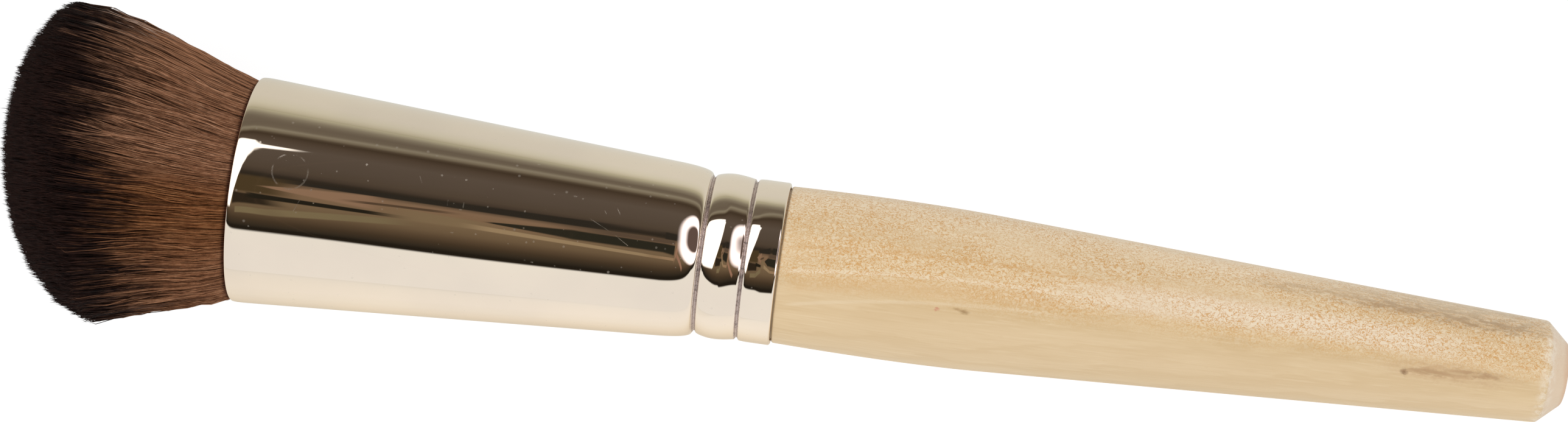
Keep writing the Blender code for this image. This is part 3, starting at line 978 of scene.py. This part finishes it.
def hairFinish():
    look = hairLook
    material, tree, shader = newMaterial("dyed_filament")
    lay = newNode(tree, "Attribute", attribute_name="lay").outputs["Vector"]
    ownTone = newNode(tree, "Attribute", attribute_name="strandTone").outputs["Fac"]
    x, y, height = splitPlaces(lay)
    tuft = drawnNoise(lay, 11, 0.22, 3, 0.6)
    dash = drawnNoise(lay, 46, 1.2, 3, 0.7)
    # the dye starts nearer the ferrule on one side, and raggedly
    middle = soften(y, -0.62, 0.3, look["changeLow"], look["changeHigh"])
    middle = plus(middle, soften(y, 0.5, 0.85, 0.0, look["changeFar"]))
    middle = plus(middle, spread(ownTone, look["strandRagged"]), spread(tuft, look["tuftRagged"]))
    dyed = soften(minus(height, middle), -look["darkFrom"], look["darkTo"])
    light = plus(times(ownTone, 0.22), times(dash, 0.78), spread(tuft, 0.3))
    brown = ramp(light, [(0.25, look["brownDark"]), (0.5, look["brown"]), (0.75, look["brownPale"])])
    warm = times(soften(y, 0.22, -0.15), soften(y, -0.85, -0.3, 0.35, 1.0))
    brown = blend(warm, brown, look["warmth"], "MULTIPLY")
    # painted light: the far edge is coloured paler and redder, as if lit more
    lit = times(soften(y, 0.66, 0.88), soften(height, 0.5, 7.0, 0.5, 1.0), look["farEdgeLitShare"])
    brown = blend(lit, brown, look["farEdgeLit"])
    tips = ramp(light, [(0.3, look["tipDark"]), (0.7, look["tip"])])
    colour = blend(dyed, brown, tips)
    # a few pale split filaments at the far edge
    split = times(soften(y, 0.8, 0.93), soften(offBy(x, 0.12), 0.4, 0.25))
    split = times(split, soften(height, 8.5, 11), soften(height, 18.5, 16.0))
    colour = blend(times(split, soften(ownTone, 0.7, 0.84, 0.0, 0.8)), colour, look["pale"])
    # painted shadow: dark where the filaments leave the metal
    colour = blend(soften(height, 0.75, 0.35), colour, look["rootShade"], "MULTIPLY")
    feed(shader, "Base Color", colour)
    # lit partly as one round head, so that neighbours don't stand apart as hard lines
    toWorld = {"vector_type": "NORMAL", "convert_from": "OBJECT", "convert_to": "WORLD"}
    outward = fedNode("VectorTransform", {0: joined(x, y)}, **toWorld)[0]
    own = newNode(tree, "NewGeometry").outputs["Normal"]
    facing = fedNode("Mix", {0: look["normalShare"], 4: own, 5: outward}, data_type="VECTOR")[1]
    feed(shader, "Normal", vectorSums("NORMALIZE", facing))
    feed(shader, "Roughness", soften(dash, 0.3, 0.7, 0.42, 0.6))
    feed(shader, "Specular IOR Level", look["specular"])
    return material


# painted shade: the core is coloured much darker than the filaments, standing for deep filaments in shade
coreLook = {
    "brown": (tone(44, 26, 17), tone(78, 50, 35)),
    "tips": (tone(14, 8, 7), tone(26, 17, 14)),
    "changeFrom": 9 * mm,
    "changeTo": 17 * mm,
    "roughness": 0.7,
    "specular": 0.15,
}


def coreFinish():
    look = coreLook
    material, tree, shader = newMaterial("shaded_filament")
    places = objectPlaces(tree)
    comb = drawnNoise(places, 1800, 120, 3)
    brown, tips = (ramp(comb, [(0.3, look[part][0]), (0.7, look[part][1])]) for part in ("brown", "tips"))
    change = soften(splitPlaces(places)[2], look["changeFrom"], look["changeTo"])
    # painted shade: darker browns than the filaments' own
    feed(shader, "Base Color", blend(change, brown, tips))
    feed(shader, "Roughness", look["roughness"])
    feed(shader, "Specular IOR Level", look["specular"])
    return material


# Glue finishes, for the two pieces that stay as the CAD has them

glueLooks = {
    "epoxy_plug": {
        "name": "cast_epoxy",
        "body": {"Scale": 240, "Contrast": 0.3, "First": tone(196, 160, 96), "Second": tone(214, 184, 124)},
        "specks": {"Scale": 900, "Share": 0.3, "Size": 0.25},
        "speckTone": tone(232, 212, 164),
        "speckShare": 0.5,
        "roughness": (0.12, 0.28),
        "raised": "specks",
        "bump": 0.00005,
    },
    "handle_glue": {
        "name": "cured_wood_glue",
        "body": {"Scale": 320, "Contrast": 0.25, "First": tone(214, 200, 160), "Second": tone(228, 216, 184)},
        "specks": {"Scale": 1200, "Share": 0.15, "Size": 0.2},
        "speckTone": tone(150, 126, 92),
        "speckShare": 0.4,
        "roughness": (0.5, 0.7),
        "raised": "body",
        "bump": 0.00008,
    },
}


def glueFinish(look):
    material, tree, shader = newMaterial(look["name"])
    places = objectPlaces(tree)
    body = placed(mottleGroup, Vector=places, **look["body"])
    masks = {"body": body["Mask"], "specks": placed(speckGroup, Vector=places, **look["specks"])["Mask"]}
    colour = blend(times(masks["specks"], look["speckShare"]), body["Color"], look["speckTone"])
    feed(shader, "Base Color", colour)
    feed(shader, "Roughness", soften(masks["body"], 0.0, 1.0, *look["roughness"]))
    feed(shader, "Normal", bump(masks[look["raised"]], 0.4, look["bump"]))
    return material


def dress(piece, material):
    piece.data.materials.clear()
    piece.data.materials.append(material)


dress(ferrule, metalFinish())
dress(handle, woodFinish())
hair = hairFinish()
for piece in bristles[:-1]:
    dress(piece, hair)
dress(bristles[-1], coreFinish())
for nodeName, glueLook in glueLooks.items():
    frame["nodes"][nodeName].material_slots[0].material = glueFinish(glueLook)
print("finishes made")


# Studio

studio = {
    "floorHalf": 3.0,
    "sheet": 0.85,  # how white the sheet is
    "floorGlow": 1.18,
    "floorGlowShare": 0.75,
    # painted shade: the floor that the metal shows is darkened near the mouth
    "mouthShade": (0.95, 0.945, 0.93, 1),
    "mouthShadeFrom": -60 * mm,
    "mouthShadeTo": -20 * mm,
    "roomLight": 0.85,
    "leftPanel": (1.8, 1.8, 1.85, 1),
    "rightPanel": (1.9, 1.8, 2.0, 1),
    "panelHole": (96, 76, 66),
    "keySize": 0.6,
    "keyPlace": (-0.15, -0.1, 0.7),
    "keyPower": 1.2,
}

# what the polished metal shows of the floor, with painted shade: on the near side darker and warmer close to
# the brush, on the far side dimmer and darker away from it. Each row: a distance as distance / (distance +
# 0.1 m), and the colour
farFloor = [
    (0.2, 215, 202, 179),
    (0.36, 213, 200, 178),
    (0.54, 207, 195, 169),
    (0.72, 196, 183, 155),
    (1.0, 174, 162, 132),
]
nearFloor = [
    (0.12, 214, 191, 160),
    (0.155, 227, 205, 174),
    (0.19, 236, 216, 188),
    (0.24, 241, 224, 200),
    (0.33, 243, 227, 206),
    (1.0, 236, 223, 205),
]

# what it shows of the room above: the angle in degrees from straight up, positive on the far side, and the
# colour
roomTones = [
    (-60, 235, 222, 205),
    (-44.5, 235, 223, 205),
    (-42.5, 36, 28, 19),
    (-39, 34, 28, 20),
    (-36, 50, 41, 30),
    (-30, 68, 53, 37),
    (-24, 88, 69, 49),
    (-18, 106, 85, 61),
    (-10, 116, 94, 68),
    (0, 124, 97, 71),
    (7.5, 128, 100, 75),
    (11, 96, 76, 57),
    (13, 60, 49, 37),
    (15, 46, 38, 29),
    (17.5, 52, 43, 33),
    (20, 70, 57, 45),
    (24, 80, 66, 52),
    (33, 85, 71, 58),
    (48, 89, 75, 62),
    (58, 79, 64, 50),
    (64, 66, 52, 38),
    (66.6, 80, 66, 50),
    (69.4, 115, 101, 80),
    (72.6, 135, 122, 100),
    (75.6, 108, 94, 76),
    (79, 104, 90, 73),
    (84.6, 134, 121, 99),
    (90, 174, 162, 132),
]

# long soft marks in the mirrored room. Each has the (along, across) degrees of its start and of its end, its
# half-width at either end, how softly it ends, and its colour.
roomMarks = [
    ((-9.0, 5.5), (1.6, 5.5), (8.5, 8.5), 0.3, (74, 58, 36)),
    ((-9.0, -9.5), (1.4, -9.0), (6.4, 4.8), 0.25, (46, 36, 25)),
    ((-4.0, -21.5), (1.1, -20.6), (3.0, 3.0), 0.4, (121, 104, 74)),
    ((1.1, -20.6), (3.2, -12.8), (3.0, 3.2), 0.4, (121, 104, 74)),
    ((1.2, 5.0), (2.9, 4.4), (0.5, 7.5), 0.2, (140, 108, 82)),
    ((1.5, 12.6), (6.5, 16.0), (1.4, 4.6), 0.5, (45, 39, 31)),
    ((7.5, 16.0), (12.6, 15.6), (4.6, 4.4), 0.5, (45, 39, 31)),
    ((0.6, -5.2), (3.2, -6.8), (2.6, 1.7), 0.4, (36, 31, 22)),
    ((2.6, 2.8), (4.0, 5.2), (1.2, 1.3), 0.3, (82, 63, 46)),
    ((3.3, -3.4), (4.6, -5.0), (6.0, 4.4), 0.5, (124, 102, 74)),
    ((4.4, -6.8), (7.2, -13.2), (2.6, 1.7), 0.3, (150, 125, 92)),
    ((7.2, -13.2), (12.4, -13.8), (1.7, 1.9), 0.3, (150, 120, 88)),
    ((4.6, 0.6), (5.9, 0.4), (0.6, 5.6), 0.1, (43, 39, 29)),
    ((5.8, 0.3), (12.0, -1.8), (5.6, 6.8), 0.1, (43, 39, 29)),
    ((5.9, 8.6), (12.0, 8.4), (2.4, 2.2), 0.7, (88, 70, 54)),
    ((12.6, -10.0), (14.0, 4.0), (8.0, 6.0), 0.3, (150, 112, 86)),
    ((13.6, -8.0), (20.0, -27.0), (3.0, 2.6), 0.5, (150, 110, 86)),
]


def metalShows(red, green, blue):
    # the colour of the surroundings that the tinted metal shows as this one
    shown = tone(red, green, blue)
    return tuple(c / t for c, t in zip(shown[:3], metalLook["tint"][:3])) + (1.0,)


def shownRamp(value, rows):
    return ramp(value, [(place, metalShows(*colour)) for place, *colour in rows])


def makeFloor():
    half = studio["floorHalf"]
    mesh = bpy.data.meshes.new("floor")
    corners = [(-half, -half, 0), (half, -half, 0), (half, half, 0), (-half, half, 0)]
    mesh.from_pydata(corners, [], [(0, 1, 2, 3)])
    floor = inScene("floor", mesh)
    material, tree, shader = newMaterial("white_sheet")
    feed(shader, "Base Color", (studio["sheet"],) * 3 + (1,))
    feed(shader, "Roughness", 0.9)
    feed(shader, "Specular IOR Level", 0.0)
    path = newNode(tree, "LightPath").outputs
    seen = larger(path["Is Camera Ray"], path["Is Glossy Ray"], path["Is Transmission Ray"])
    x, y = splitPlaces(objectPlaces(tree))[:2]
    away = sums("ABSOLUTE", y)
    away = sums("DIVIDE", away, plus(away, 0.1))
    # painted shade: the metal is shown the floor darker near the brush, dimmer on the far side and darker
    # near the mouth
    mirrored = blend(soften(y, -0.006, 0.006), shownRamp(away, nearFloor), shownRamp(away, farFloor))
    dim = soften(x, studio["mouthShadeTo"], studio["mouthShadeFrom"])
    mirrored = blend(dim, mirrored, studio["mouthShade"], "MULTIPLY")
    # the plain sheet under it gives its own share, so the glow makes up the rest
    given = studio["floorGlowShare"]
    rest = blend(1, mirrored, ((1 - given) * studio["sheet"],) * 3 + (1,), "SUBTRACT")
    white = (studio["floorGlow"],) * 3 + (1,)
    glow = fedNode("Emission", {"Color": blend(path["Is Glossy Ray"], white, scaled(rest, 1 / given))})
    mix = fedNode("MixShader", {0: times(seen, given), 1: shader.outputs[0], 2: glow[0]})
    feed(tree.nodes["Material Output"], "Surface", mix[0])
    floor.data.materials.append(material)


def roomMark(room, across, along, start, end, halves, fade, shown):
    share = sums("DIVIDE", minus(along, start[0]), end[0] - start[0])
    middle = plus(start[1], times(share, end[1] - start[1]))
    half = plus(halves[0], times(share, halves[1] - halves[0]))
    mask = soften(offBy(across, middle), times(half, 1.25), times(half, 0.75))
    starts = soften(along, start[0] - fade, start[0] + fade)
    ends = soften(along, end[0] + fade, end[0] - fade)
    return blend(times(mask, starts, ends), room, metalShows(*shown))


def bandSwing(across, along):
    # how far the bands swing: on the far side nearer the zenith towards the bristles
    lead = sums("POWER", math.e, sums("DIVIDE", plus(along, 4.5), 4.0))
    swing = sums("DIVIDE", 9.0, plus(1.0, lead))
    swing = times(swing, soften(across, 48, 64), soften(across, 82, 68))
    # on the near side they shift with the angle along the brush, most where the metal leans steeply
    swing = plus(swing, times(soften(along, 0.5, 4.5, -1.7, 0.8), soften(across, -34, -40)))
    lift = sums("MINIMUM", times(along, along, 0.008), 14.0)
    return minus(swing, times(lift, soften(across, -10, -28)))


def leftPanel(across, along):
    # a white panel towards the bristles, whose edge comes nearest high on the far side
    lag = larger(sums("DIVIDE", minus(43.0, across), 58.0), 0.0)
    edge = minus(-0.95, times(sums("POWER", lag, 1.8), 12.0))
    edge = plus(edge, soften(across, 42.8, 46.2, 0.0, 0.68))
    top = plus(across, soften(along, -2.6, -1.2, -3.4, 0.0))
    left = soften(minus(along, edge), 0.32, -0.32)
    return times(left, soften(across, -21, -17), soften(top, 48.6, 47.2))


def roundedMask(across, along, middle, halves, soft):
    # a square with very round corners
    reach = 0.0
    for value, centre, half in zip((across, along), middle, halves):
        share = sums("DIVIDE", minus(value, centre), half)
        reach = plus(reach, sums("POWER", sums("ABSOLUTE", share), 3.0))
    return soften(sums("POWER", reach, 1 / 3), 1 + soft, 1 - soft)


def makeWorld():
    world = bpy.data.worlds.new("studio")
    bpy.context.scene.world = world
    world.use_nodes = True
    tree = world.node_tree
    tree.nodes.clear()
    x, y, z = splitPlaces(newNode(tree, "TexCoord").outputs["Generated"])
    across = sums("DEGREES", sums("ARCTAN2", y, z))
    along = sums("DEGREES", sums("ARCTAN2", x, z))
    angles = {"Value": plus(across, bandSwing(across, along)), "From Min": -90, "From Max": 90}
    rows = [((angle + 90) / 180, *colour) for angle, *colour in roomTones]
    room = shownRamp(fedNode("MapRange", angles)["Result"], rows)
    for mark in roomMarks:
        room = roomMark(room, across, along, *mark)
    # the white panel towards the bristles, and a rounder one towards the butt, with a dark hole
    hole = roundedMask(across, along, (18.5, 44), (20, 24), 0.12)
    right = times(roundedMask(across, along, (16, 45.5), (36, 31), 0.07), minus(1.0, hole))
    room = blend(hole, room, metalShows(*studio["panelHole"]))
    room = blend(leftPanel(across, along), room, studio["leftPanel"])
    room = blend(right, room, studio["rightPanel"])
    path = newNode(tree, "LightPath").outputs
    seen = blend(path["Is Camera Ray"], (studio["roomLight"],) * 3 + (1,), (1, 1, 1, 1))
    background = fedNode("Background", {"Color": blend(path["Is Glossy Ray"], seen, room)})
    fedNode("OutputWorld", {"Surface": background[0]})


def makeKey():
    data = bpy.data.lights.new("softbox", "AREA")
    data.shape = "SQUARE"
    data.size = studio["keySize"]
    data.energy = studio["keyPower"]
    key = inScene("softbox", data)
    key.location = studio["keyPlace"]
    key.rotation_mode = "QUATERNION"
    key.rotation_quaternion = (-Vector(key.location)).to_track_quat("-Z", "Y")
    key.visible_glossy = False
    key.visible_camera = False


makeFloor()
makeWorld()
makeKey()
bpy.context.scene.view_settings.view_transform = "Standard"
print("studio made")
